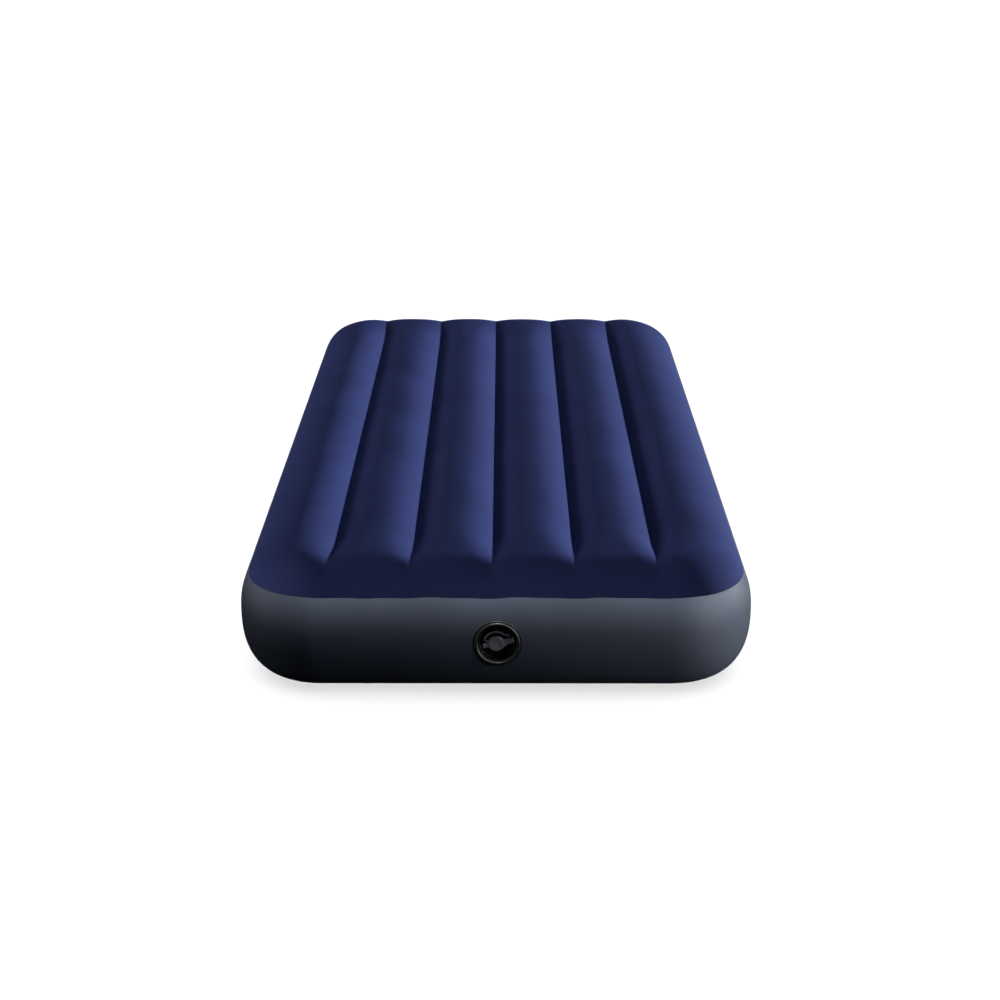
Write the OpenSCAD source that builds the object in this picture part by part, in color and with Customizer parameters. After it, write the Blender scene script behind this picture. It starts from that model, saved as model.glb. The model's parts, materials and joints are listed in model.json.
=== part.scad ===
// Inflated twin air mattress: quilted flocked top on internal beams,
// bulging side wall and a screw valve in the foot end. Millimetres,
// +Z up, +Y from the valve end to the head end, origin at the centre
// of the underside. The valve end faces -Y.

/* [Mattress] */
// overall length along Y, over the valve lip
mat_l = 1910; // [1800:5:2050]
// overall width along X
mat_w = 990; // [700:5:1600]
// height of the rib crests above the floor
mat_h = 250; // [180:1:300]
// plan radius of the corners at the widest level
corner_r = 160; // [120:1:165]
// height of the widest level of the wall
bulge_z = 118; // [80:1:150]
// how far the top edge roll runs in from the wall
roll_top = 118; // [60:1:150]
// how far the floor contact starts in from the wall
roll_low = 86; // [40:1:100]
// fullness of the top roll, 2 is an ellipse
full_top = 2.35; // [1.8:0.05:3]
// fullness of the lower roll, 2 is an ellipse
full_low = 2.45; // [1.8:0.05:3]
// height of the seam between top panel and wall
seam_top_z = 200; // [180:1:215]
// height of the seam between wall and bottom panel
seam_low_z = 14; // [8:1:20]

/* [Ribs] */
// distance between neighbouring grooves
rib_pitch = 155; // [120:1:165]
// sideways offset of the middle groove
rib_shift = -7; // [-20:1:20]
// depth of the grooves in the top panel
groove_top = 28; // [15:1:40]
// depth of the grooves in the bottom panel
groove_low = 20; // [8:1:30]
// how late the panels dive into the grooves, 2 is a parabola
groove_power = 2.9; // [2:0.1:3]
// how much sharper a groove's profile becomes where the groove ends
groove_pinch = 1.5; // [0:0.5:5]
// distance from a groove to the flat crest of the underside
low_crest = 50; // [40:1:70]
// where along Y the grooves start to fade out
fade_from = 700; // [600:5:800]
// where along Y the top grooves have faded out
fade_to = 925; // [840:5:940]
// where along Y the grooves of the underside have faded out
low_fade_to = 895; // [840:5:900]

/* [Skins] */
// thickness of the flocked top panel
top_t = 0.5; // [0.3:0.05:1]
// thickness of the wall and bottom panel
skin_t = 0.4; // [0.3:0.05:1]
// thickness of a beam web and its flanges
beam_t = 0.4; // [0.3:0.05:1]
// width of a beam flange
flange_w = 18; // [10:1:30]
// thickness of the weld tapes
tape_t = 0.4; // [0.3:0.05:1]

/* [Valve] */
// sideways position of the valve axis
valve_x = 3; // [-50:1:50]
// height of the valve axis
valve_z = 113.5; // [100:0.5:130]
// outer radius of the soft lip
lip_r = 46; // [42:0.5:50]
// inner radius of the soft pocket
pocket_r = 37.5; // [36:0.5:40]
// inner radius of the screw socket
socket_r = 31; // [28:0.5:33]
// running gap round the plug skirt and the cap stem
screw_gap = 0.3; // [0.3:0.05:0.6]
// inner radius of the inflation port
port_r = 9.5; // [8:0.1:11]
// offset of the port from the plug axis
port_at = [-2.5, -1.5];
// reach of the long wing of the cap from its axis
arm_reach = 33.5; // [28:0.5:34]
// reach of the short wing of the cap from its axis
tab_reach = 25.5; // [20:0.5:30]
// angle of the long wing above the horizontal
arm_angle = 11.5; // [0:0.5:20]
// angle of the short wing below the horizontal
tab_angle = 13; // [0:0.5:20]

/* [Hidden] */
$fn = 96;
// skins run from this centre so that the lip ends the length
lip_stand = 2;
skin_y = lip_stand / 2;
half_w = mat_w / 2;
half_l = mat_l / 2 - skin_y;
top_y = skin_y;

// ---- plan grid shared by every skin -------------------------------
core_w = half_w - corner_r;
core_l = half_l - corner_r;
groove_x = [for (i = [-2:2]) i * rib_pitch + rib_shift];
rib_steps = 8;
xs = concat(
    [-core_w, (groove_x[0] - core_w) / 2],
    [for (i = [0:4 * rib_steps])
        groove_x[0] + i * rib_pitch / rib_steps],
    [(groove_x[4] + core_w) / 2, core_w]
);
y_half = [200, 400, 560, 680, 740, 770, core_l];
ys = concat([for (i = [6:-1:0]) -y_half[i]], [0], y_half);
nx = len(xs) - 1;
ny = len(ys) - 1;
arc_steps = 7;

// grid number of the crossing of column i and row j
function cell(i, j) = j * (nx + 1) + i;

// points strictly inside one corner arc, counter-clockwise
function arc_rim(i, j, from) = [
    for (k = [1:arc_steps - 1])
        let (a = from + 90 * k / arc_steps)
        [xs[i], ys[j], cos(a), sin(a), cell(i, j)]
];

// rim of the core rectangle: base point, outward normal, grid number
rim = concat(
    [for (i = [0:nx]) [xs[i], ys[0], 0, -1, cell(i, 0)]],
    arc_rim(nx, 0, -90),
    [for (j = [0:ny]) [xs[nx], ys[j], 1, 0, cell(nx, j)]],
    arc_rim(nx, ny, 0),
    [for (i = [nx:-1:0]) [xs[i], ys[ny], 0, 1, cell(i, ny)]],
    arc_rim(0, ny, 90),
    [for (j = [ny:-1:0]) [xs[0], ys[j], -1, 0, cell(0, j)]],
    arc_rim(0, 0, 180)
);
rim_n = len(rim);

// ---- section of the skins: [inset from the outline, height] -------
// inset of the wall at height z
function inset(z) = z >= bulge_z
    ? roll_top * (1 - pow(1 - pow((z - bulge_z) / (mat_h - bulge_z),
                                  full_top), 1 / full_top))
    : roll_low * (1 - pow(1 - pow((bulge_z - z) / bulge_z,
                                  full_low), 1 / full_low));
function section(zs) = [for (z = zs) [inset(z), z]];

// the wall stops short of the panels it is welded to
weld_gap = 0.5;
wall_section = section([seam_low_z + weld_gap, 23, 38, 60, 88, bulge_z,
                        148, 172, 189, seam_top_z - weld_gap]);
top_section = concat(
    section([seam_top_z, 211, 224, 235.5, 244, 248.5]),
    [[roll_top + 4, mat_h], [roll_top + 20, mat_h], [corner_r, mat_h]]
);
// the bottom panel is built upside down, so its heights are negative
low_section = [for (p = concat(section([seam_low_z, 7, 2.2]),
                               [[roll_low, 0], [corner_r, 0]]))
    [p[0], -p[1]]];
top_tape_section = section([189, seam_top_z, 211]);
low_tape_section = section([7, seam_low_z, 23]);

// unit vector pointing into the mattress at section point k
function inward(s, k) =
    let (a = s[max(k - 1, 0)],
         b = s[min(k + 1, len(s) - 1)],
         t = (b - a) / norm(b - a))
    [t[1], -t[0]];

// section moved inwards by the distance t
function moved(s, t) = [for (k = [0:len(s) - 1]) s[k] + t * inward(s, k)];

// one ring of skin points at section point p
function ring(p) = [for (r = rim)
    [r[0] + (corner_r - p[0]) * r[2],
     r[1] + (corner_r - p[0]) * r[3],
     p[1]]];

// ---- grooves ------------------------------------------------------
// share of the full groove depth at the place y along the mattress,
// for grooves that have faded out at the place to
function fade(y, to) =
    let (u = min(1, max(0, (to - abs(y)) / (to - fade_from))))
    u * u * (3 - 2 * u);
// drop of a quilted panel below its crest
function drop(x, y, depth, crest, to) =
    let (near = min([for (g = groove_x) abs(x - g)]),
         u = max(0, 1 - near / crest),
         f = fade(y, to))
    depth * pow(u, groove_power + groove_pinch * (1 - f)) * f;
function sunk(pts, depth, crest, to) = [for (p = pts)
    [p[0], p[1], p[2] - drop(p[0], p[1], depth, crest, to)]];

// closed sheet over the whole plan: rings of rim points, then the core
module quilted_panel(s, t, depth, crest, to) {
    rings = len(s) - 1;
    s_in = moved(s, t);
    core_z = s[rings][1];
    outer = concat(
        [for (k = [0:rings - 1]) each ring(s[k])],
        [for (y = ys) for (x = xs) [x, y, core_z]]
    );
    inner = concat(
        [for (k = [0:rings - 1]) each ring(s_in[k])],
        [for (y = ys) for (x = xs) [x, y, core_z - t]]
    );
    m = len(outer);
    core = rings * rim_n;
    function at(k, j) = k < rings
        ? k * rim_n + (j % rim_n)
        : core + rim[j % rim_n][4];
    function tri(a, b, c) = [core + a, core + b, core + c];
    skin = concat(
        [for (k = [0:rings - 1]) for (j = [0:rim_n - 1])
            [at(k, j), at(k + 1, j + 1), at(k, j + 1)]],
        [for (k = [0:rings - 1]) for (j = [0:rim_n - 1])
            if (at(k + 1, j) != at(k + 1, j + 1))
                [at(k, j), at(k + 1, j), at(k + 1, j + 1)]],
        [for (j = [0:ny - 1]) for (i = [0:nx - 1])
            tri(cell(i, j), cell(i, j + 1), cell(i + 1, j + 1))],
        [for (j = [0:ny - 1]) for (i = [0:nx - 1])
            tri(cell(i, j), cell(i + 1, j + 1), cell(i + 1, j))]
    );
    edge = concat(
        [for (j = [0:rim_n - 1])
            [at(0, j), at(0, j + 1), at(0, j + 1) + m]],
        [for (j = [0:rim_n - 1])
            [at(0, j), at(0, j + 1) + m, at(0, j) + m]]
    );
    polyhedron(
        points = concat(sunk(outer, depth, crest, to),
                        sunk(inner, depth, crest, to)),
        faces = concat(skin, [for (f = skin) [f[2] + m, f[1] + m, f[0] + m]],
                       edge)
    );
}

// closed band that runs right round the mattress
module band(s_out, s_in) {
    top = len(s_out) - 1;
    m = len(s_out) * rim_n;
    function at(k, j) = k * rim_n + (j % rim_n);
    skin = concat(
        [for (k = [0:top - 1]) for (j = [0:rim_n - 1])
            [at(k, j), at(k + 1, j), at(k + 1, j + 1)]],
        [for (k = [0:top - 1]) for (j = [0:rim_n - 1])
            [at(k, j), at(k + 1, j + 1), at(k, j + 1)]]
    );
    edges = concat(
        [for (j = [0:rim_n - 1])
            [at(0, j), at(0, j + 1), at(0, j + 1) + m]],
        [for (j = [0:rim_n - 1])
            [at(0, j), at(0, j + 1) + m, at(0, j) + m]],
        [for (j = [0:rim_n - 1])
            [at(top, j + 1), at(top, j), at(top, j) + m]],
        [for (j = [0:rim_n - 1])
            [at(top, j + 1), at(top, j) + m, at(top, j + 1) + m]]
    );
    polyhedron(
        points = concat([for (p = s_out) each ring(p)],
                        [for (p = s_in) each ring(p)]),
        faces = concat(skin, [for (f = skin) [f[2] + m, f[1] + m, f[0] + m]],
                       edges)
    );
}

// strip of the wall section, w wide, on one end of the mattress:
// side -1 is the valve end and side 1 the head end
module end_strip(s_out, s_in, w, side) {
    outline = concat(
        [for (p = s_out) [half_l - p[0], p[1]]],
        [for (k = [len(s_in) - 1:-1:0]) [half_l - s_in[k][0], s_in[k][1]]]
    );
    translate([side * w / 2, 0, 0])
        rotate([90, 0, side * 90])
            mirror([0, 0, 1])
                linear_extrude(w)
                    polygon(outline);
}

// local frame of the valve: +Z outwards, Z = 0 on the face of the lip
module valve_frame() {
    translate([valve_x, -mat_l / 2, valve_z])
        rotate([90, 0, 0])
            children();
}

// ---- skins --------------------------------------------------------
module top_panel() {
    color([0.12, 0.14, 0.3])
        translate([0, top_y, 0])
            quilted_panel(top_section, top_t, groove_top, rib_pitch / 2,
                          fade_to);
}

module side_wall() {
    color([0.2, 0.22, 0.26])
        difference() {
            translate([0, top_y, 0])
                band(wall_section, moved(wall_section, skin_t));
            valve_frame()
                translate([0, 0, -40])
                    cylinder(r = lip_r + 0.3, h = 60);
        }
}

module bottom_panel() {
    color([0.16, 0.17, 0.2])
        translate([0, top_y, 0])
            mirror([0, 0, 1])
                quilted_panel(low_section, skin_t, groove_low, low_crest,
                              low_fade_to);
}

module top_seam() {
    color([0.1, 0.11, 0.2])
        translate([0, top_y, 0])
            band(moved(top_tape_section, top_t + 0.15),
                 moved(top_tape_section, top_t + 0.15 + tape_t));
}

module bottom_seam() {
    color([0.1, 0.1, 0.12])
        translate([0, top_y, 0])
            band(moved(low_tape_section, skin_t + 0.15),
                 moved(low_tape_section, skin_t + 0.15 + tape_t));
}

// tape that closes the wall band into a loop at the head end
module wall_joint_tape() {
    lap = [for (k = [2:len(wall_section) - 3]) wall_section[k]];
    color([0.12, 0.13, 0.16])
        translate([0, top_y, 0])
            end_strip(moved(lap, skin_t + 0.1),
                      moved(lap, skin_t + 0.1 + tape_t), 30, 1);
}

// ---- beams under the grooves --------------------------------------
module beam(n) {
    low = groove_low + skin_t + 0.1;
    high = mat_h - groove_top - top_t - 0.1;
    run = 2 * fade_from;
    color([0.3, 0.32, 0.36])
        translate([groove_x[n], top_y, 0]) {
            translate([-beam_t / 2, -run / 2, low])
                cube([beam_t, run, high - low]);
            translate([-flange_w / 2, -run / 2, high - beam_t])
                cube([flange_w, run, beam_t]);
            translate([-flange_w / 2, -run / 2, low])
                cube([flange_w, run, beam_t]);
        }
}
module beam_1() { beam(0); }
module beam_2() { beam(1); }
module beam_3() { beam(2); }
module beam_4() { beam(3); }
module beam_5() { beam(4); }

// ---- valve: depths are measured from the face of the lip ----------
floor_at = -22;
socket_face = -20;
socket_end = -46;
gasket_t = 2;
head_under = socket_face + gasket_t;
dish_at = -15;
rim_at = -11.5;
head_r = pocket_r - 0.9;
skirt_r = socket_r - screw_gap;
skirt_end = -38;
boss_r = 13;
insert_r = 12;
boss_face = -12.8;
boss_end = -34;
seat_r = 10.2;
seat_end = -19;
seal_t = 1.2;
strap_t = 1.6;
cap_under = boss_face + seal_t + strap_t;
stem_r = seat_r - screw_gap;
stem_end = -17;
cap_r = 15;
cap_face = -5.5;
wing_t = 3.5;
peg_at = [21.4, 14.8];
pin_r = 1.2;
pin_at = [port_at[0], port_at[1] + 16, boss_end - 2];

// reinforcing ring welded behind the wall round the valve
module valve_patch() {
    near = [for (k = [2:len(wall_section) - 3]) wall_section[k]];
    color([0.1, 0.1, 0.12])
        intersection() {
            translate([valve_x, top_y, 0])
                end_strip(moved(near, skin_t + 0.1),
                          moved(near, skin_t + 0.1 + 2 * tape_t), 140, -1);
            valve_frame()
                translate([0, 0, -40])
                    difference() {
                        cylinder(r = 61, h = 60);
                        translate([0, 0, -1])
                            cylinder(r = lip_r + 0.3, h = 62);
                    }
        }
}

// soft cup that the valve sits in, with its rounded lip
module valve_pocket() {
    lip_mid = (lip_r + pocket_r) / 2;
    lip_half = (lip_r - pocket_r) / 2;
    color([0.03, 0.03, 0.035])
        valve_frame() {
            rotate_extrude() {
                translate([lip_mid, -lip_half])
                    circle(r = lip_half);
                translate([pocket_r, -12])
                    square([lip_r - pocket_r, 12 - lip_half]);
                translate([pocket_r, floor_at - 2])
                    square([2, 14]);
                translate([socket_r + 2.8, floor_at - 2])
                    square([pocket_r - socket_r - 2, 2]);
            }
        }
}

// rigid threaded ring welded to the floor of the pocket
module valve_socket() {
    color([0.05, 0.05, 0.06])
        valve_frame()
            rotate_extrude() {
                translate([socket_r, floor_at])
                    square([pocket_r - 0.2 - socket_r,
                            socket_face - floor_at]);
                translate([socket_r, socket_end])
                    square([2.5, floor_at - socket_end + 1]);
            }
}

module plug_gasket() {
    color([0.08, 0.08, 0.08])
        valve_frame()
            translate([0, 0, socket_face])
                difference() {
                    cylinder(r = head_r - 0.4, h = gasket_t);
                    translate([0, 0, -1])
                        cylinder(r = skirt_r + 0.3, h = gasket_t + 2);
                }
}

// large screw plug: dished head and skirt, open in the middle for the
// port insert, with the peg that holds the strap
module valve_plug() {
    color([0.05, 0.05, 0.06])
        valve_frame() {
            difference() {
                union() {
                    translate([0, 0, head_under])
                        cylinder(r = head_r, h = rim_at - head_under);
                    translate([0, 0, skirt_end])
                        cylinder(r = skirt_r, h = head_under - skirt_end + 1);
                }
                translate([0, 0, dish_at])
                    cylinder(r = head_r - 3.2, h = 10);
                translate([0, 0, skirt_end - 1])
                    cylinder(r = skirt_r - 2.7,
                             h = head_under - skirt_end + 1);
                translate([port_at[0], port_at[1], skirt_end - 1])
                    cylinder(r = insert_r + 0.1, h = 40);
            }
            translate([peg_at[0], peg_at[1], dish_at - 1])
                cylinder(r = 1.5, h = 6);
        }
}

// lugs at the inner end of the port that hold the flap pin
module pin_lugs() {
    for (side = [-1, 1])
        translate([pin_at[0] + side * 6 - 1.5, port_at[1] + 10,
                   pin_at[2] - 2.4])
            cube([3, 8.4, 8]);
}

// inflation port clipped into the plug: flanged tube with the seat for
// the cap at its mouth and the lugs for the flap at its inner end
module port_insert() {
    color([0.05, 0.05, 0.06])
        valve_frame()
            difference() {
                union() {
                    translate([port_at[0], port_at[1], boss_end])
                        cylinder(r = insert_r, h = boss_face - boss_end);
                    translate([port_at[0], port_at[1], dish_at])
                        cylinder(r = boss_r, h = boss_face - dish_at);
                    translate([port_at[0], port_at[1], head_under - 1.5])
                        cylinder(r = boss_r, h = 1.5);
                    pin_lugs();
                }
                translate([port_at[0], port_at[1], boss_end - 6])
                    cylinder(r = port_r, h = 40);
                translate([port_at[0], port_at[1], seat_end])
                    cylinder(r = seat_r, h = 20);
                translate([pin_at[0] - 10, pin_at[1], pin_at[2]])
                    rotate([0, 90, 0])
                        cylinder(r = pin_r, h = 20);
            }
}

// silicone disc that lets air in and is pushed shut from inside
module check_flap() {
    color([0.75, 0.75, 0.72])
        valve_frame()
            difference() {
                union() {
                    translate([port_at[0], port_at[1], boss_end - 1.3])
                        cylinder(r = 10.7, h = 1.2);
                    translate([pin_at[0] - 4, port_at[1] + 8,
                               boss_end - 1.3])
                        cube([8, 7, 1.2]);
                    translate([pin_at[0] - 4, pin_at[1], pin_at[2]])
                        rotate([0, 90, 0])
                            cylinder(r = 2.3, h = 8);
                }
                translate([pin_at[0] - 5, pin_at[1], pin_at[2]])
                    rotate([0, 90, 0])
                        cylinder(r = pin_r + 0.07, h = 10);
            }
}

module flap_pin() {
    color([0.2, 0.2, 0.21])
        valve_frame()
            translate([pin_at[0] - 8, pin_at[1], pin_at[2]])
                rotate([0, 90, 0])
                    cylinder(r = pin_r, h = 16);
}

module cap_seal() {
    color([0.1, 0.1, 0.1])
        valve_frame()
            translate([port_at[0], port_at[1], boss_face])
                difference() {
                    cylinder(r = boss_r - 0.3, h = seal_t);
                    translate([0, 0, -1])
                        cylinder(r = seat_r, h = seal_t + 2);
                }
}

// flat arc of the strap about the port axis
module strap_arc(r, w, from, to) {
    rotate([0, 0, from])
        rotate_extrude(angle = to - from)
            translate([r - w / 2, 0])
                square([w, strap_t]);
}

// strap that keeps the cap: eye round the stem, arc, eye on the peg
module cap_tether() {
    peg_rel = peg_at - port_at;
    peg_dir = atan2(peg_rel[1], peg_rel[0]);
    run_r = 22.5;
    color([0.2, 0.2, 0.21])
        valve_frame()
            difference() {
                translate([port_at[0], port_at[1], boss_face + seal_t])
                    union() {
                        cylinder(r = 14, h = strap_t);
                        strap_arc(run_r, 3.4, peg_dir + 5, 170);
                        rotate([0, 0, 170])
                            translate([13, -2.2, 0])
                                cube([run_r - 11.3, 4.4, strap_t]);
                        translate([peg_rel[0], peg_rel[1], 0])
                            cylinder(r = 4, h = strap_t);
                        rotate([0, 0, peg_dir + 6])
                            translate([run_r - 1.7, -2, 0])
                                cube([6, 4, strap_t]);
                    }
                translate([port_at[0], port_at[1], boss_face])
                    cylinder(r = seat_r, h = 6);
                translate([peg_at[0], peg_at[1], boss_face])
                    cylinder(r = 1.6, h = 6);
            }
}

// screw cap of the port, turned by its two wings
module inflation_cap() {
    color([0.16, 0.16, 0.17])
        valve_frame()
            translate([port_at[0], port_at[1], 0])
                difference() {
                    union() {
                        translate([0, 0, stem_end])
                            cylinder(r = stem_r, h = cap_under - stem_end + 1);
                        translate([0, 0, cap_under])
                            cylinder(r = cap_r, h = cap_face - cap_under);
                        rotate([0, 0, arm_angle])
                            translate([0, -5.7, cap_under + 0.5])
                                cube([arm_reach, 11.4, wing_t]);
                        rotate([0, 0, 180 + tab_angle])
                            translate([0, -4.6, cap_under + 0.5])
                                cube([tab_reach, 9.2, wing_t]);
                    }
                    translate([0, 0, stem_end - 1])
                        cylinder(r = stem_r - 2, h = 8);
                    for (side = [-1, 1])
                        translate([side * 3.4, side * -2.6, cap_face - 1.2])
                            cylinder(r = 1.3, h = 3);
                }
}

top_panel();
side_wall();
bottom_panel();
top_seam();
bottom_seam();
wall_joint_tape();
beam_1();
beam_2();
beam_3();
beam_4();
beam_5();
valve_patch();
valve_pocket();
valve_socket();
plug_gasket();
valve_plug();
port_insert();
check_flap();
flap_pin();
cap_seal();
cap_tether();
inflation_cap();
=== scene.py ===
import bmesh
import bpy
import math
import json
import numpy as np
from mathutils import Matrix, Vector

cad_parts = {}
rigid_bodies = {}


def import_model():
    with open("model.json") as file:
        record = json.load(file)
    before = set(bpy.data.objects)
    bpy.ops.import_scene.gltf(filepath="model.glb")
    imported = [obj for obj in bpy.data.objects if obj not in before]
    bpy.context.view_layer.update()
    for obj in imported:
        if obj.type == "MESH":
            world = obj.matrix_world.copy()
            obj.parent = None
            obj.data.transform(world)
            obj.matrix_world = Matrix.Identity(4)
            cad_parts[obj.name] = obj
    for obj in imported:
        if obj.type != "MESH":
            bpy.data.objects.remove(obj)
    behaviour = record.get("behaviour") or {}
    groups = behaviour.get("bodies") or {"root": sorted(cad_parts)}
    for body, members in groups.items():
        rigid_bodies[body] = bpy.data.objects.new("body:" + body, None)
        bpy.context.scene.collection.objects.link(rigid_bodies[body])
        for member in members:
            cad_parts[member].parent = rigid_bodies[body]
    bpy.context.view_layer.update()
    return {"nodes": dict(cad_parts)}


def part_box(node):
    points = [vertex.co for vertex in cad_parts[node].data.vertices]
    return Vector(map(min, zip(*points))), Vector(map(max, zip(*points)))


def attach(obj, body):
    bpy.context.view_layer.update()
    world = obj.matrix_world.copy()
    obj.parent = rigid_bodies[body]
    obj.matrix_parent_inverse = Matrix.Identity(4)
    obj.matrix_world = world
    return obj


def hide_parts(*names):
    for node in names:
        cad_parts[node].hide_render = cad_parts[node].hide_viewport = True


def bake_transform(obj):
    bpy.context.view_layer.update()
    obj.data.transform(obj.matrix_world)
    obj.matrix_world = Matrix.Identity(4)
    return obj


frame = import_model()
NODE = frame["nodes"]

# ---- sizes, in metres, read off the CAD frame -----------------------
wall_lo, wall_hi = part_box("side_wall")
HALF_W = (wall_hi[0] - wall_lo[0]) / 2
HALF_L = (wall_hi[1] - wall_lo[1]) / 2
MID_Y = (wall_hi[1] + wall_lo[1]) / 2
TOP_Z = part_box("top_panel")[1][2]
SEAM_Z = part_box("top_panel")[0][2]
LOW_SEAM_Z = wall_lo[2]
GROOVES = [sum(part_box(f"beam_{n}")[k][0] for k in (0, 1)) / 2 for n in range(1, 6)]
PITCH = (GROOVES[4] - GROOVES[0]) / 4

# ---- sizes that the frame doesn't hold, as in the CAD source --------------
CORNER = 0.160
BULGE_Z = 0.118
ROLL_TOP, ROLL_LOW = 0.118, 0.086
FULL_TOP, FULL_LOW = 2.35, 2.45
FADE_FROM, FADE_TO, LOW_FADE_TO = 0.700, 0.925, 0.895
GROOVE_TOP, GROOVE_LOW = 0.028, 0.020
CREST_LOW = 0.050
RIB_POWER, RIB_PINCH = 2.9, 1.5
VALVE = Vector((0.003, -0.955, 0.1135))
WALL_HOLE_R = 0.0461

# ---- the skins' thickness, and unevenness that only the visual model has ---
TOP_SKIN, PVC_SKIN = 0.0005, 0.0004
SEAM_WAVE, SEAM_WAVE_LENGTH, SEAM_WAVE_REACH = 0.0011, 0.10, 0.010
UNEVEN, UNEVEN_LENGTH, UNEVEN_FROM_SEAM = 0.0007, 0.22, 0.03
ROUND_TOP, ROUND_LOW = 0.0008, 0.001
PUCKER_HEAD = (0.0042, 0.878, 0.032)
PUCKER_FOOT = (0.0012, -0.905, 0.020)
PUCKER_EDGE = 0.020
CLOSEST_COLUMNS = 0.0011


# ---- small helpers ---------------------------------------------------
def mesh_object(name, verts, faces):
    me = bpy.data.meshes.new(name)
    me.from_pydata([tuple(v) for v in verts], [], [tuple(f) for f in faces])
    me.validate()
    me.update()
    ob = bpy.data.objects.new(name, me)
    bpy.context.scene.collection.objects.link(ob)
    return ob


def bmesh_object(name, bm):
    """Links a new object made from bm, and frees bm."""
    me = bpy.data.meshes.new(name)
    bm.to_mesh(me)
    bm.free()
    ob = bpy.data.objects.new(name, me)
    bpy.context.scene.collection.objects.link(ob)
    return ob


def applied(ob):
    """Turns an object's modifiers into plain mesh."""
    deps = bpy.context.evaluated_depsgraph_get()
    deps.update()
    me = bpy.data.meshes.new_from_object(ob.evaluated_get(deps))
    ob.modifiers.clear()
    old = ob.data
    ob.data = me
    me.name = ob.name
    bpy.data.meshes.remove(old)


def combined(ob, other, how):
    """Boolean of ob with other, which is used up."""
    m = ob.modifiers.new("bool", "BOOLEAN")
    m.operation = how
    m.solver = "EXACT"
    m.object = other
    applied(ob)
    bpy.data.objects.remove(other)


def outward(ob):
    """Turns an object's faces outwards."""
    bm = bmesh.new()
    bm.from_mesh(ob.data)
    bmesh.ops.recalc_face_normals(bm, faces=bm.faces)
    bm.to_mesh(ob.data)
    bm.free()
    ob.data.update()


def smooth(ob, angle):
    """Smooth shading, with edges sharper than angle (degrees) kept sharp."""
    ob.data.polygons.foreach_set("use_smooth", [True] * len(ob.data.polygons))
    bm = bmesh.new()
    bm.from_mesh(ob.data)
    for e in bm.edges:
        if len(e.link_faces) == 2:
            e.smooth = e.calc_face_angle(0) < math.radians(angle)
    bm.to_mesh(ob.data)
    bm.free()
    ob.data.update()


def ripple(x, y, seed, size):
    """Smooth repeatable waviness between about -1 and 1, from a few sine waves."""
    rng = np.random.default_rng(seed)
    total = np.zeros_like(x)
    for _ in range(9):
        a = rng.uniform(0, 2 * math.pi)
        k = 2 * math.pi / (size * rng.uniform(0.6, 1.7))
        total += np.sin(k * (x * math.cos(a) + y * math.sin(a)) + rng.uniform(0, 6.28))
    return total / 4.2


# ---- the skins: one section swept round a rounded rectangle ----------
def inset(z):
    """How far the section lies inside the plan's outline at height z."""
    if z >= BULGE_Z:
        u = min(1.0, (z - BULGE_Z) / (TOP_Z - BULGE_Z))
        return ROLL_TOP * (1 - max(0.0, 1 - u ** FULL_TOP) ** (1 / FULL_TOP))
    u = min(1.0, (BULGE_Z - z) / BULGE_Z)
    return ROLL_LOW * (1 - max(0.0, 1 - u ** FULL_LOW) ** (1 / FULL_LOW))


def section_arc(z0, z1, n):
    """n + 1 points [inset, z] from z0 to z1, evenly spaced along the section."""
    t = np.linspace(0, 1, 4001)
    z = z0 + (z1 - z0) * (1 - (1 - t) ** 2)
    d = np.array([inset(v) for v in z])
    run = np.concatenate([[0], np.cumsum(np.hypot(np.diff(d), np.diff(z)))])
    at = np.linspace(0, run[-1], n + 1)
    return np.stack([np.interp(at, run, d), np.interp(at, run, z)], 1)


def fade(y, to):
    """1 over the grooves' length, easing to 0 at the distance "to" from the middle."""
    u = np.clip((to - np.abs(y)) / (to - FADE_FROM), 0, 1)
    return u * u * (3 - 2 * u)


def columns(step, crease):
    """x lines of the core: fine in the creases, even between them."""
    core = HALF_W - CORNER
    xs = {round(v, 6) for v in (-core, core)}
    edges = [-core] + GROOVES + [core]
    for a, b in zip(edges, edges[1:]):
        n = max(2, int(round((b - a) / step)))
        xs |= {round(a + (b - a) * k / n, 6) for k in range(n + 1)}
    for g in GROOVES:
        xs |= {round(g + s * k, 6) for k in crease for s in (-1, 1)}
    out = []
    for v in sorted(xs):
        if out and v - out[-1] < CLOSEST_COLUMNS:
            if any(abs(v - g) < 1e-5 for g in GROOVES) or v == round(core, 6):
                out[-1] = v
            continue
        out.append(v)
    return np.array(out)


def rows(step):
    """y lines of the core, evenly spaced."""
    core = HALF_L - CORNER
    n = int(round(2 * core / step))
    return np.linspace(-core, core, n + 1)


def rim_of(xs, ys, arc):
    """Rim of the core, counter-clockwise: base x, y, outward x, y, core index."""
    nx, ny = len(xs), len(ys)
    out = [(xs[i], ys[0], 0, -1, i) for i in range(nx)]

    def corner(i, j, start):
        for k in range(1, arc):
            a = math.radians(start + 90 * k / arc)
            yield (xs[i], ys[j], math.cos(a), math.sin(a), j * nx + i)

    out += corner(nx - 1, 0, -90)
    out += [(xs[-1], ys[j], 1, 0, j * nx + nx - 1) for j in range(ny)]
    out += corner(nx - 1, ny - 1, 0)
    out += [(xs[i], ys[-1], 0, 1, (ny - 1) * nx + i) for i in range(nx - 1, -1, -1)]
    out += corner(0, ny - 1, 90)
    out += [(xs[0], ys[j], -1, 0, j * nx) for j in range(ny - 1, -1, -1)]
    out += corner(0, 0, 180)
    return np.array(out)


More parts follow.
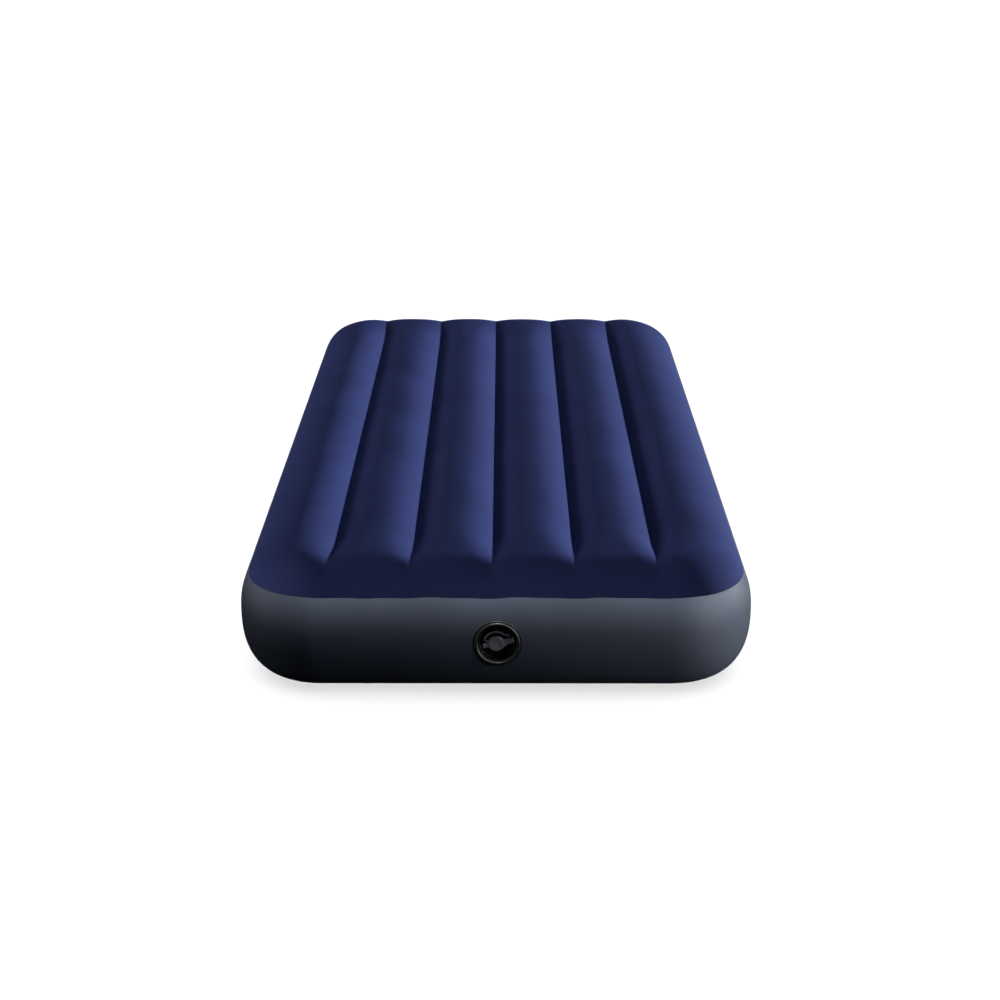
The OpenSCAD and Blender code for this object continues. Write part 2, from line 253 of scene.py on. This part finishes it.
def ring_points(rim, d, z):
    """Points of one level of a skin; near the top seam it waves a little up and down."""
    n = len(rim)
    z = np.full(n, float(z))
    near = math.exp(-((z[0] - SEAM_Z) / SEAM_WAVE_REACH) ** 2)
    if near > 0.01:
        x, y = rim[:, 0] + 0.1 * rim[:, 2], rim[:, 1] + 0.1 * rim[:, 3]
        z += SEAM_WAVE * near * ripple(x, y, 11, SEAM_WAVE_LENGTH)
        d = np.array([inset(v) for v in z])
    return np.stack([rim[:, 0] + (CORNER - d) * rim[:, 2],
                     rim[:, 1] + (CORNER - d) * rim[:, 3], z], 1)


def panel_surface(sec, xs, ys, rim):
    """One-sided surface: rings from the seam inwards, then the core grid."""
    n, rings = len(rim), len(sec) - 1
    pts = [ring_points(rim, d, z) for d, z in sec[:-1]]
    gx, gy = np.meshgrid(xs, ys)
    pts.append(np.stack([gx.ravel(), gy.ravel(), np.full(gx.size, sec[-1][1])], 1))
    v = np.concatenate(pts)
    core = rings * n

    def at(k, j):
        return k * n + j % n if k < rings else core + int(rim[j % n, 4])

    faces = []
    for k in range(rings):
        for j in range(n):
            q = (at(k, j), at(k, j + 1), at(k + 1, j + 1), at(k + 1, j))
            faces.append(q if q[2] != q[3] else q[:3])
    nx = len(xs)
    for j in range(len(ys) - 1):
        for i in range(nx - 1):
            a = core + j * nx + i
            faces.append((a, a + 1, a + nx + 1, a + nx))
    return v, faces


def band_surface(sec, rim):
    """One-sided surface of the wall: a ring of faces between each two levels."""
    n = len(rim)
    v = np.concatenate([ring_points(rim, d, z) for d, z in sec])
    faces = [(k * n + j, k * n + (j + 1) % n, (k + 1) * n + (j + 1) % n, (k + 1) * n + j)
             for k in range(len(sec) - 1) for j in range(n)]
    return v, faces


def thick(ob, t):
    """Gives a one-sided sheet its thickness, inwards."""
    m = ob.modifiers.new("thick", "SOLIDIFY")
    m.thickness = t
    m.offset = -1
    m.use_even_offset = False
    applied(ob)


def to_groove(x):
    """Distance from x to the nearest groove."""
    return np.min(np.abs(x[:, None] - np.array(GROOVES)[None, :]), axis=1)


def groove_drop(x, y, depth, crest, to, round_r):
    """Depth of the grooves at x, y: from a crest beside each, rounded at its bottom."""
    near = np.sqrt(to_groove(x) ** 2 + round_r ** 2) - round_r
    u = np.clip(1 - near / crest, 0, 1)
    f = fade(y, to)
    return depth * u ** (RIB_POWER + RIB_PINCH * (1 - f)) * f


def pucker_drop(x, y):
    """Small puckers of the top where its grooves run out, gone at the seam tape."""
    u = np.clip(1 - to_groove(x) / (PITCH / 2), 0, 1)
    drop = np.zeros_like(y)
    for depth, middle, reach in (PUCKER_HEAD, PUCKER_FOOT):
        drop += depth * np.exp(-((y - middle) / reach) ** 2)
    return u ** 2 * drop * np.clip((FADE_TO - np.abs(y)) / PUCKER_EDGE, 0, 1)


# ---- top skin ----------------------------------------------------------
xs = columns(0.0095, (0.0018, 0.004, 0.007))
ys = rows(0.0125)
rim = rim_of(xs, ys, 22)
sec = section_arc(SEAM_Z, TOP_Z, 22)
flat_in = np.stack([np.linspace(ROLL_TOP, CORNER, 6)[1:], np.full(5, TOP_Z)], 1)
sec = np.concatenate([sec, flat_in])
v, f = panel_surface(sec, xs, ys, rim)
x, y = v[:, 0], v[:, 1]
v[:, 2] -= groove_drop(x, y, GROOVE_TOP, PITCH / 2, FADE_TO, ROUND_TOP) + pucker_drop(x, y)
inner = np.clip((v[:, 2] - SEAM_Z) / UNEVEN_FROM_SEAM, 0, 1)
v[:, 2] += UNEVEN * ripple(x, y, 3, UNEVEN_LENGTH) * inner
v[:, 1] += MID_Y
top = mesh_object("top_skin", v, f)
thick(top, TOP_SKIN)
outward(top)
smooth(top, 50)

# ---- wall skin -----------------------------------------------------------
wsec = np.concatenate([section_arc(BULGE_Z, LOW_SEAM_Z, 16)[::-1],
                       section_arc(BULGE_Z, SEAM_Z - 0.0004, 14)[1:]])
wsec[:, 0] = np.maximum(wsec[:, 0], 0)
wxs = np.linspace(xs[0], xs[-1], 61)
wys = rows(0.02)
wrim = rim_of(wxs, wys, 26)
v, f = band_surface(wsec, wrim)
v[:, 1] += MID_Y
wall = mesh_object("wall_skin", v, f)
thick(wall, PVC_SKIN)
cutter_bm = bmesh.new()
bmesh.ops.create_cone(cutter_bm, cap_ends=True, segments=128, radius1=WALL_HOLE_R,
                      radius2=WALL_HOLE_R, depth=0.06)
cutter = bmesh_object("cutter", cutter_bm)
cutter.matrix_world = Matrix.Translation(VALVE) @ Matrix.Rotation(math.pi / 2, 4, "X")
combined(wall, cutter, "DIFFERENCE")
outward(wall)
smooth(wall, 50)

# ---- bottom skin ---------------------------------------------------------
bsec = section_arc(BULGE_Z, 0.0, 40)
bsec = bsec[bsec[:, 1] <= LOW_SEAM_Z]
bsec = np.concatenate([[[inset(LOW_SEAM_Z), LOW_SEAM_Z]], bsec,
                       np.stack([np.linspace(ROLL_LOW, CORNER, 6)[1:], np.zeros(5)], 1)])
bxs = columns(0.017, (0.003, 0.007))
bys = rows(0.03)
brim = rim_of(bxs, bys, 14)
v, f = panel_surface(bsec, bxs, bys, brim)
v[:, 2] += groove_drop(v[:, 0], v[:, 1], GROOVE_LOW, CREST_LOW, LOW_FADE_TO, ROUND_LOW)
v[:, 1] += MID_Y
bottom = mesh_object("bottom_skin", v, [q[::-1] for q in f])
thick(bottom, PVC_SKIN)
outward(bottom)
smooth(bottom, 50)


# ---- valve: drawn in its own frame, in millimetres, +z outwards --------------
PORT = (-2.5, -1.5)
PEG = (21.4, 14.8)
LEAD_PLUG, LEAD_CAP = 8.0, 4.0
PLUG_STARTS, CAP_STARTS = 2, 1
PLUG_THREAD, CAP_THREAD = 0.75, 0.45
SKIRT_R, SKIRT_FROM, SKIRT_TO = 30.7, -18.8, -37.3
STEM_R, STEM_FROM, STEM_TO = 9.9, -10.4, -16.4
FILLET_STEPS = 4


def valve_point(a, b, c):
    return (VALVE.x + a / 1000, VALVE.y - c / 1000, VALVE.z + b / 1000)


def valve_mesh(name, verts, faces):
    ob = mesh_object(name, [valve_point(*p) for p in verts], faces)
    outward(ob)
    return ob


def filleted(points):
    """Profile with rounded corners, from points (r, z, radius)."""
    out = []
    for i, (r, z, f) in enumerate(points):
        p = np.array((r, z), float)
        if not f:
            out.append((r, z))
            continue
        ends = []
        for q in (points[i - 1], points[(i + 1) % len(points)]):
            d = np.array(q[:2], float) - p
            run = np.linalg.norm(d)
            ends.append(p + d / run * min(f, run * 0.49))
        for k in range(FILLET_STEPS + 1):
            t = k / FILLET_STEPS
            out.append(tuple((1 - t) ** 2 * ends[0] + 2 * t * (1 - t) * p + t * t * ends[1]))
    return out


def lathe(profile, n, centre=(0, 0), shape=None):
    """Closed solid turned about the valve's +z; shape(r, z, a) may move its points."""
    a = np.arange(n) * 2 * math.pi / n
    verts, rings = [], []
    for r, z in profile:
        start = len(verts)
        if r < 1e-6:
            verts.append((centre[0], centre[1], z))
            rings.append((start, 1))
            continue
        rr, zz = shape(r, z, a) if shape else (r, z)
        rr, zz = rr + np.zeros(n), zz + np.zeros(n)
        verts += list(zip(centre[0] + rr * np.cos(a), centre[1] + rr * np.sin(a), zz))
        rings.append((start, n))
    pairs = list(zip(rings, rings[1:]))
    if rings[0][1] > 1:
        pairs.append((rings[-1], rings[0]))
    faces = []
    for (p, p_count), (q, q_count) in pairs:
        for k in range(n):
            j = (k + 1) % n
            if p_count > 1 and q_count > 1:
                faces.append((p + k, p + j, q + j, q + k))
            elif q_count > 1:
                faces.append((p, q + j, q + k))
            else:
                faces.append((p + k, p + j, q))
    return verts, faces


def thread(z, a, lead, starts, low, high):
    """Share of the thread's depth at height z and angle a; no thread at the ends."""
    phase = ((z - lead * a / (2 * math.pi)) / (lead / starts)) % 1.0
    ridge = np.clip((np.abs(phase - 0.5) - 0.14) / 0.16, 0, 1)
    ends = np.clip((z - low) / 1.2, 0, 1) * np.clip((high - z) / 1.2, 0, 1)
    return ridge * ends


def box_mesh(name, size, at, turn, round_r):
    """Rounded bar from x = 0 outwards, turned about the port's axis."""
    bm = bmesh.new()
    bmesh.ops.create_cube(bm, size=1)
    for w in bm.verts:
        w.co = Vector((w.co.x * size[0] + size[0] / 2, w.co.y * size[1],
                       w.co.z * size[2] + at))
    bmesh.ops.bevel(bm, geom=bm.edges[:], offset=round_r, segments=3, affect="EDGES")
    c, d = math.cos(turn), math.sin(turn)
    verts = [(PORT[0] + w.co.x * c - w.co.y * d, PORT[1] + w.co.x * d + w.co.y * c, w.co.z)
             for w in bm.verts]
    faces = [[w.index for w in g.verts] for g in bm.faces]
    bm.free()
    return valve_mesh(name, verts, faces)


# soft cup: flat weld flange, then a rolled lip, then the cup's wall and floor
lip = [(40.2 + 2.6 * math.cos(t), -2.6 + 2.6 * math.sin(t))
       for t in np.linspace(math.radians(2), math.pi, 15)]
cup_profile = (filleted([(33.8, -22, 0.4), (33.8, -24, 0.4), (39.5, -24, 0.6),
                         (39.5, -12, 1.2), (46, -12, 1.0), (46, -2.7, 1.1),
                         (42.9, -2.9, 0.3)])
               + lip + filleted([(37.5, -3.5, 0), (37.5, -12, 0), (37.5, -22, 1.4)])[1:])


def cup_shape(r, z, a):
    """The soft lip waves a little; the rest of the cup is plain."""
    soft = 0.10 * np.sin(3 * a + 0.7) + 0.06 * np.sin(7 * a + 2.1)
    return r, z + (soft - 0.16 if z > -4 else 0)


cup = valve_mesh("pocket_cup", *lathe(cup_profile, 144, shape=cup_shape))
smooth(cup, 40)

# screw plug: gripped rim, ribbed dish, threaded skirt, hole for the port insert
skirt = [(SKIRT_R, z) for z in np.arange(SKIRT_FROM, SKIRT_TO, -0.45)]
dish = [(r, -15) for r in np.arange(31.0, 19.0, -1.2)]
plug_profile = ([(0, -15), (8, -15), (15.8, -15), (16.3, -14.6), (17.5, -14.6),
                 (18.0, -15)] + dish[::-1]
                + filleted([(31.6, -15, 0), (33.4, -14.8, 0.9), (33.4, -11.5, 1.1),
                            (36.6, -11.5, 1.3), (36.6, -18, 0.6), (30.8, -18, 0.4)])
                + skirt
                + filleted([(SKIRT_R, -37.4, 0), (SKIRT_R, -38, 0.5), (28, -38, 0.5),
                            (28, -18, 0.8), (14, -18, 0)])[1:] + [(0, -18)])


def plug_shape(r, z, a):
    """Thread on the skirt, grip round the rim and eight ribs across the dish."""
    if abs(r - SKIRT_R) < 0.01 and SKIRT_TO < z < SKIRT_FROM + 0.1:
        depth = PLUG_THREAD * thread(z, a, LEAD_PLUG, PLUG_STARTS, SKIRT_TO, SKIRT_FROM)
        return r - depth, z
    if r > 36.4 and -17 < z < -12:
        return r - 0.4 * np.clip(np.cos(36 * a) * 1.6, -1, 1) ** 2, z
    if 18.5 < r < 31.5 and z > -15.5:
        ribs = 8
        near = np.abs((a * ribs / (2 * math.pi) + 0.5) % 1 - 0.5) * 2 * math.pi / ribs * r
        tall = math.sin((r - 18.5) / 13 * math.pi) ** 0.5
        return r, z + 0.9 * np.exp(-(near / 0.9) ** 2) * tall
    return r, z


plug = valve_mesh("plug_body", *lathe(plug_profile, 216, shape=plug_shape))
hole = valve_mesh("hole", *lathe([(0, -5), (12.1, -5), (12.1, -42), (0, -42)], 96, PORT))
combined(plug, hole, "DIFFERENCE")
peg = valve_mesh("peg", *lathe(filleted([(0, -10, 0), (1.5, -10, 0.6), (1.5, -16, 0),
                                         (0, -16, 0)]), 32, PEG))
combined(plug, peg, "UNION")
smooth(plug, 35)

# screw cap: dished hub and two wings in one moulding, on a hollow threaded stem
cap = valve_mesh("cap_body", *lathe(filleted([(0, -5.5, 0), (15, -5.5, 1.6), (15, -10, 0.4),
                                              (0, -10, 0)]), 96, PORT))
ARM, TAB = math.radians(11.5), math.radians(193)
wings = [box_mesh("arm", (33.5, 11.4, 3.5), -7.75, ARM, 1.1),
         box_mesh("arm_root", (19.5, 15.0, 3.3), -7.85, ARM - 0.10, 1.2),
         box_mesh("tab", (25.5, 9.2, 3.5), -7.75, TAB, 1.1),
         box_mesh("tab_root", (18.0, 12.0, 3.3), -7.85, TAB, 1.2)]
for wing in wings:
    combined(cap, wing, "UNION")

# even mesh for the cap, softened, so that its edges look moulded
m = cap.modifiers.new("even", "REMESH")
m.mode = "VOXEL"
m.voxel_size = 0.00042
m = cap.modifiers.new("soft", "SMOOTH")
m.factor = 0.5
m.iterations = 5
applied(cap)

# the cap's outer face: dished hub, two dimples, and three grip lines on the long wing
w = np.empty(len(cap.data.vertices) * 3)
cap.data.vertices.foreach_get("co", w)
w = w.reshape(-1, 3)
lx = (w[:, 0] - VALVE.x) * 1000 - PORT[0]
ly = (w[:, 2] - VALVE.z) * 1000 - PORT[1]
lz = (VALVE.y - w[:, 1]) * 1000
face = np.clip((lz + 6.9) / 0.5, 0, 1)
dent = 0.45 * np.clip(1 - (np.hypot(lx, ly) / 12.5) ** 2, 0, 1)
for sign in (-1, 1):
    dent += 0.9 * np.exp(-((lx - 3.4 * sign) ** 2 + (ly + 2.6 * sign) ** 2) / 1.3 ** 2)
along = lx * math.cos(ARM) + ly * math.sin(ARM)
for k in (24.5, 27.0, 29.5):
    dent += 0.35 * np.exp(-((along - k) / 0.45) ** 2)
w[:, 1] += dent * face / 1000
cap.data.vertices.foreach_set("co", w.ravel())


def stem_shape(r, z, a):
    """Thread on the outside of the cap's stem."""
    if abs(r - STEM_R) < 0.01:
        return r - CAP_THREAD * thread(z, a, LEAD_CAP, CAP_STARTS, STEM_TO, STEM_FROM - 0.2), z
    return r, z


stem_side = [(STEM_R, z) for z in np.arange(STEM_FROM, STEM_TO, -0.3)]
stem_profile = ([(7.9, -9.2), (STEM_R, -9.2)] + stem_side
                + filleted([(STEM_R, -16.5, 0), (STEM_R, -17, 0.3), (7.9, -17, 0.3),
                            (7.9, -9.4, 0)]))
stem = valve_mesh("stem", *lathe(stem_profile, 96, PORT, stem_shape))
combined(cap, stem, "UNION")
smooth(cap, 60)

# strap of the cap: a ring round the stem, and an arc that ends on the peg
ring_profile = filleted([(10.3, -11.6, 0.4), (14.0, -11.6, 0.5), (14.0, -10.05, 0.5),
                         (10.3, -10.05, 0.4)])
tether_ring = valve_mesh("tether_ring", *lathe(ring_profile, 96, PORT))
smooth(tether_ring, 60)


def strap_path(n):
    """Points of the strap's middle line, from the peg to the ring.

    The knots are (radius, degrees) about the port, joined by a Catmull-Rom curve.
    """
    knots = [(26.0, 35), (24.4, 41), (23.1, 47), (22.6, 54), (22.5, 65), (22.5, 90),
             (22.5, 120), (22.5, 148), (22.4, 160), (21.4, 167), (19.2, 170.5),
             (16.5, 171.5), (13.4, 172)]
    pts = np.array([(PORT[0] + r * math.cos(math.radians(d)),
                     PORT[1] + r * math.sin(math.radians(d))) for r, d in knots])
    dense = []
    pad = np.concatenate([[2 * pts[0] - pts[1]], pts, [2 * pts[-1] - pts[-2]]])
    for i in range(1, len(pad) - 2):
        for t in np.linspace(0, 1, 24, endpoint=False):
            p0, p1, p2, p3 = pad[i - 1:i + 3]
            dense.append(0.5 * (2 * p1 + (p2 - p0) * t + (2 * p0 - 5 * p1 + 4 * p2 - p3) * t ** 2
                                + (3 * p1 - p0 - 3 * p2 + p3) * t ** 3))
    dense = np.array(dense + [pts[-1]])
    run = np.concatenate([[0], np.cumsum(np.linalg.norm(np.diff(dense, axis=0), axis=1))])
    at = np.linspace(0, run[-1], n)
    return np.stack([np.interp(at, run, dense[:, k]) for k in (0, 1)], 1)


def squarish(c, half):
    """A cosine or sine, flattened so that its ellipse becomes a rounded box."""
    return half * math.copysign(abs(c) ** 0.55, c)


STRAP_HALF_W, STRAP_HALF_T, STRAP_Z, STRAP_SIDES = 1.7, 0.76, -10.82, 16
path = strap_path(90)
tang = np.gradient(path, axis=0)
tang /= np.linalg.norm(tang, axis=1)[:, None]
verts, faces = [], []
for pt, tg in zip(path, tang):
    side = np.array((-tg[1], tg[0]))
    for k in range(STRAP_SIDES):
        t = 2 * math.pi * k / STRAP_SIDES
        across = pt + side * squarish(math.cos(t), STRAP_HALF_W)
        verts.append((*across, STRAP_Z + squarish(math.sin(t), STRAP_HALF_T)))
last = (len(path) - 1) * STRAP_SIDES
for a in range(0, last, STRAP_SIDES):
    b = a + STRAP_SIDES
    for k in range(STRAP_SIDES):
        j = (k + 1) % STRAP_SIDES
        faces.append((a + k, a + j, b + j, b + k))
faces += [tuple(range(STRAP_SIDES)), tuple(range(last, last + STRAP_SIDES))[::-1]]
tether_strap = valve_mesh("tether_strap", verts, faces)
eye = valve_mesh("eye", *lathe(filleted([(1.65, -11.6, 0.3), (4.0, -11.6, 0.5),
                                         (4.0, -10.05, 0.5), (1.65, -10.05, 0.3)]), 48, PEG))
combined(tether_strap, eye, "UNION")
smooth(tether_strap, 50)


# ---- materials -------------------------------------------------------------
def material(name, color, rough):
    """Principled material; returns it with its tree and shader."""
    mat = bpy.data.materials.new(name)
    mat.use_nodes = True
    nt = mat.node_tree
    sh = nt.nodes["Principled BSDF"]
    sh.inputs["Base Color"].default_value = (*color, 1)
    sh.inputs["Roughness"].default_value = rough
    return mat, nt, sh


def noise(nt, coord, scale, detail, rough, stretch=None):
    src = coord
    if stretch:
        mp = nt.nodes.new("ShaderNodeMapping")
        mp.inputs["Scale"].default_value = stretch
        nt.links.new(coord, mp.inputs["Vector"])
        src = mp.outputs["Vector"]
    n = nt.nodes.new("ShaderNodeTexNoise")
    n.inputs["Scale"].default_value = scale
    n.inputs["Detail"].default_value = detail
    n.inputs["Roughness"].default_value = rough
    nt.links.new(src, n.inputs["Vector"])
    return n.outputs["Fac"]


def ramp(nt, fac, stops):
    r = nt.nodes.new("ShaderNodeValToRGB")
    el = r.color_ramp.elements
    while len(el) < len(stops):
        el.new(0.5)
    for e, (p, c) in zip(el, stops):
        e.position = p
        e.color = (*c, 1)
    nt.links.new(fac, r.inputs["Fac"])
    return r.outputs["Color"]


def bump(nt, height, strength, distance, normal=None):
    b = nt.nodes.new("ShaderNodeBump")
    b.inputs["Strength"].default_value = strength
    b.inputs["Distance"].default_value = distance
    nt.links.new(height, b.inputs["Height"])
    if normal is not None:
        nt.links.new(normal, b.inputs["Normal"])
    return b.outputs["Normal"]


def coords(nt):
    return nt.nodes.new("ShaderNodeTexCoord").outputs["Object"]


def uneven_rough(nt, sh, fac, low, high):
    """Roughness that wanders from low to high with fac."""
    rr = nt.nodes.new("ShaderNodeMapRange")
    rr.inputs["To Min"].default_value = low
    rr.inputs["To Max"].default_value = high
    nt.links.new(fac, rr.inputs["Value"])
    nt.links.new(rr.outputs["Result"], sh.inputs["Roughness"])


def velvet(name, dark, light):
    """Flocked top: clouded colour, fine fuzz, a nap along the bed and a faint sheen."""
    mat, nt, sh = material(name, light, 0.85)
    c = coords(nt)
    cloud = noise(nt, c, 5.0, 4.0, 0.55)
    nt.links.new(ramp(nt, cloud, [(0.3, dark), (0.7, light)]), sh.inputs["Base Color"])
    fuzz = noise(nt, c, 900.0, 2.0, 0.7)
    nap = noise(nt, c, 120.0, 3.0, 0.6, (1.0, 0.35, 1.0))
    nrm = bump(nt, fuzz, 0.16, 0.0006)
    nt.links.new(bump(nt, nap, 0.06, 0.0010, nrm), sh.inputs["Normal"])
    sh.inputs["Sheen Weight"].default_value = 0.06
    sh.inputs["Sheen Roughness"].default_value = 0.4
    sh.inputs["Sheen Tint"].default_value = (0.24, 0.32, 1.0, 1)
    sh.inputs["Specular IOR Level"].default_value = 0.03
    return mat


def sheet_pvc(name, dark, light, rough):
    """Welded PVC sheet: clouded colour, fine grain over slow waves."""
    mat, nt, sh = material(name, light, rough)
    c = coords(nt)
    cloud = noise(nt, c, 7.0, 3.0, 0.5)
    nt.links.new(ramp(nt, cloud, [(0.3, dark), (0.7, light)]), sh.inputs["Base Color"])
    sh.inputs["Specular IOR Level"].default_value = 0.2
    gr = noise(nt, c, 620.0, 2.0, 0.6)
    wav = noise(nt, c, 26.0, 2.0, 0.5)
    nrm = bump(nt, gr, 0.12, 0.0005)
    nt.links.new(bump(nt, wav, 0.05, 0.002, nrm), sh.inputs["Normal"])
    uneven_rough(nt, sh, cloud, rough - 0.06, rough + 0.08)
    return mat


def moulded(name, dark, light, rough, grain=0.08, spec=0.5):
    """Moulded plastic or rubber: spotted colour and a very fine grain."""
    mat, nt, sh = material(name, light, rough)
    sh.inputs["Specular IOR Level"].default_value = spec
    c = coords(nt)
    spots = noise(nt, c, 60.0, 3.0, 0.6)
    nt.links.new(ramp(nt, spots, [(0.35, dark), (0.7, light)]), sh.inputs["Base Color"])
    gr = noise(nt, c, 2400.0, 2.0, 0.6)
    nt.links.new(bump(nt, gr, grain, 0.0002), sh.inputs["Normal"])
    uneven_rough(nt, sh, spots, rough - 0.05, rough + 0.1)
    return mat


navy = velvet("navy_flock", (0.0176, 0.0235, 0.074), (0.0215, 0.0285, 0.090))
grey = sheet_pvc("grey_pvc", (0.0255, 0.0305, 0.0425), (0.0300, 0.0360, 0.0508), 0.55)
under = sheet_pvc("under_pvc", (0.021, 0.025, 0.034), (0.028, 0.033, 0.045), 0.55)
tape = sheet_pvc("tape_pvc", (0.016, 0.017, 0.022), (0.024, 0.025, 0.030), 0.5)
film = sheet_pvc("beam_film", (0.07, 0.08, 0.10), (0.10, 0.11, 0.13), 0.35)
soft_black = moulded("soft_black", (0.0045, 0.005, 0.0045), (0.0085, 0.009, 0.0085), 0.42,
                     spec=0.3)
hard_black = moulded("hard_black", (0.0012, 0.0012, 0.0015), (0.0025, 0.0025, 0.003), 0.5,
                     spec=0.12)
seal_rub = moulded("seal_rubber", (0.006, 0.006, 0.006), (0.014, 0.014, 0.014), 0.6)
silicone = moulded("silicone", (0.45, 0.45, 0.42), (0.6, 0.6, 0.57), 0.4)
cap_grey = moulded("cap_grey", (0.095, 0.095, 0.103), (0.125, 0.125, 0.134), 0.42, 0.12)


def dress(ob, mat):
    """Gives an object its one material."""
    ob.data.materials.clear()
    ob.data.materials.append(mat)


for ob, mat, body in ((top, navy, "mattress"), (wall, grey, "mattress"),
                      (bottom, under, "mattress"), (cup, soft_black, "mattress"),
                      (plug, hard_black, "plug"), (cap, cap_grey, "cap"),
                      (tether_ring, cap_grey, "seal"), (tether_strap, cap_grey, None)):
    dress(ob, mat)
    if body:
        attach(ob, body)

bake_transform(tether_strap)
for ob, name, slot in ((cup, "valve_pocket", "soft_black"), (plug, "valve_plug", "hard_black"),
                       (cap, "inflation_cap", "cap_plastic"),
                       (tether_ring, "cap_tether", "cap_plastic"),
                       (tether_strap, "cap_tether", "cap_plastic")):
    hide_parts(name)
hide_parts("top_panel")
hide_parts("side_wall")
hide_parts("bottom_panel")

CAD_LOOK = {
    "top_seam": tape, "bottom_seam": tape, "wall_joint_tape": tape,
    "valve_patch": tape, "beam_1": film, "beam_2": film, "beam_3": film,
    "beam_4": film, "beam_5": film, "valve_socket": hard_black,
    "port_insert": hard_black, "plug_gasket": seal_rub, "check_flap": silicone,
    "flap_pin": hard_black, "cap_seal": seal_rub,
}
for name, mat in CAD_LOOK.items():
    for s in NODE[name].material_slots:
        s.material = mat


# ---- camera, fitted to the mattress's outline in the photo ---------------------
cam_data = bpy.data.cameras.new("camera")
cam_data.sensor_width = 36
cam_data.lens = 60.11
cam_data.clip_end = 120
cam = bpy.data.objects.new("camera", cam_data)
cam.location = (0.0136, -3.7524, 1.4872)
cam.rotation_euler = (math.radians(90 - 21.204), 0, 0.0020)
bpy.context.scene.collection.objects.link(cam)
bpy.context.scene.camera = cam

# ---- floor and light -----------------------------------------------------------
STAGE_R = 45

floor_bm = bmesh.new()
bmesh.ops.create_grid(floor_bm, x_segments=2, y_segments=2, size=STAGE_R)
floor = bmesh_object("floor", floor_bm)
dress(floor, material("floor_white", (0.8, 0.8, 0.8), 0.9)[0])

# the floor throws no light back at the mattress
floor.visible_diffuse = False
floor.visible_glossy = False

# white studio backdrop, seen by the camera but lighting nothing
drop_bm = bmesh.new()
bmesh.ops.create_icosphere(drop_bm, subdivisions=5, radius=STAGE_R)
backdrop = bmesh_object("backdrop", drop_bm)
drop_mat, _, drop_sh = material("backdrop_white", (0, 0, 0), 1.0)
drop_sh.inputs["Specular IOR Level"].default_value = 0
drop_sh.inputs["Emission Color"].default_value = (1, 1, 1, 1)
drop_sh.inputs["Emission Strength"].default_value = 1.0
dress(backdrop, drop_mat)
for way in ("diffuse", "glossy", "transmission", "shadow"):
    setattr(backdrop, "visible_" + way, False)

# the room is dim, and its light comes from above the horizon only
SKY_COLOR, SKY_STRENGTH = (0.75, 0.9, 1.3, 1), 0.09
world = bpy.data.worlds.new("world")
bpy.context.scene.world = world
world.use_nodes = True
sky = world.node_tree
sky_dir = sky.nodes.new("ShaderNodeSeparateXYZ")
sky.links.new(sky.nodes.new("ShaderNodeTexCoord").outputs["Generated"], sky_dir.inputs[0])
above = sky.nodes.new("ShaderNodeMath")
above.operation = "GREATER_THAN"
sky.links.new(sky_dir.outputs["Z"], above.inputs[0])
above.inputs[1].default_value = 0.0
dim = sky.nodes.new("ShaderNodeMath")
dim.operation = "MULTIPLY"
sky.links.new(above.outputs[0], dim.inputs[0])
dim.inputs[1].default_value = SKY_STRENGTH
sky.nodes["Background"].inputs["Color"].default_value = SKY_COLOR
sky.links.new(dim.outputs[0], sky.nodes["Background"].inputs["Strength"])

# the flocked top, the sides and the floor each have their own lamps
lit_top = bpy.data.collections.new("lit_top")
lit_top.objects.link(top)
lit_side = bpy.data.collections.new("lit_side")
for ob in list(bpy.context.scene.objects):
    if ob.type == "MESH" and ob not in (floor, backdrop, top):
        lit_side.objects.link(ob)
lit_floor = bpy.data.collections.new("lit_floor")
lit_floor.objects.link(floor)


def lamp(kind, name, group, energy, shadow=True, **kw):
    """A lamp that lights only the objects of one group."""
    data = bpy.data.lights.new(name, kind)
    data.energy = energy
    data.use_shadow = shadow
    for k, val in kw.items():
        setattr(data, k, val)
    ob = bpy.data.objects.new(name, data)
    bpy.context.scene.collection.objects.link(ob)
    ob.light_linking.receiver_collection = group
    return ob


def sun(name, group, az, el, spread, energy, shadow=True, color=(1, 1, 1)):
    """A sun from azimuth az and height el, spread over an angle, all in degrees."""
    ob = lamp("SUN", name, group, energy, shadow, angle=math.radians(spread), color=color)
    a, e = math.radians(az), math.radians(el)
    way = Vector((math.cos(e) * math.cos(a), math.cos(e) * math.sin(a), math.sin(e)))
    ob.rotation_euler = way.to_track_quat("Z", "Y").to_euler()


# azimuth 0 is the object's right (+X), 90 its head end (+Y)
sun("top_key", lit_top, 26, 2.3, 8, 9.5, False, (0.90, 1.0, 1.10))
sun("top_mid", lit_top, 60, 20, 40, 0.3, False)
sun("top_dim", lit_top, -150, 12, 40, 0.55, False, (1.0, 0.9, 0.85))
sun("top_left", lit_top, 180, 5, 12, 2.9)
sun("top_front", lit_top, -75, 15, 30, 1.0, False, (1.0, 0.90, 0.90))
sun("side_zenith", lit_side, 0, 90, 16, 10.2)
sun("side_right", lit_side, 5, 38, 40, 4.9)
sun("side_low", lit_side, 15, 6, 12, 2.2, False)
sun("side_left", lit_side, 180, 10, 20, 0.65, False)
sun("side_back", lit_side, 90, 50, 40, 0.6)
corner = lamp("AREA", "side_corner", lit_side, 4.9, size=0.4)
corner.location = (0.9, -1.3, 0.25)
aim = Vector((0.2, -0.9, 0.13)) - corner.location
corner.rotation_euler = aim.to_track_quat("-Z", "Y").to_euler()
sun("floor_wash", lit_floor, 0, 90, 10, 2.7, False)
sun("floor_soft", lit_floor, 80, 70, 110, 2.3)

bpy.context.scene.view_settings.view_transform = "Standard"
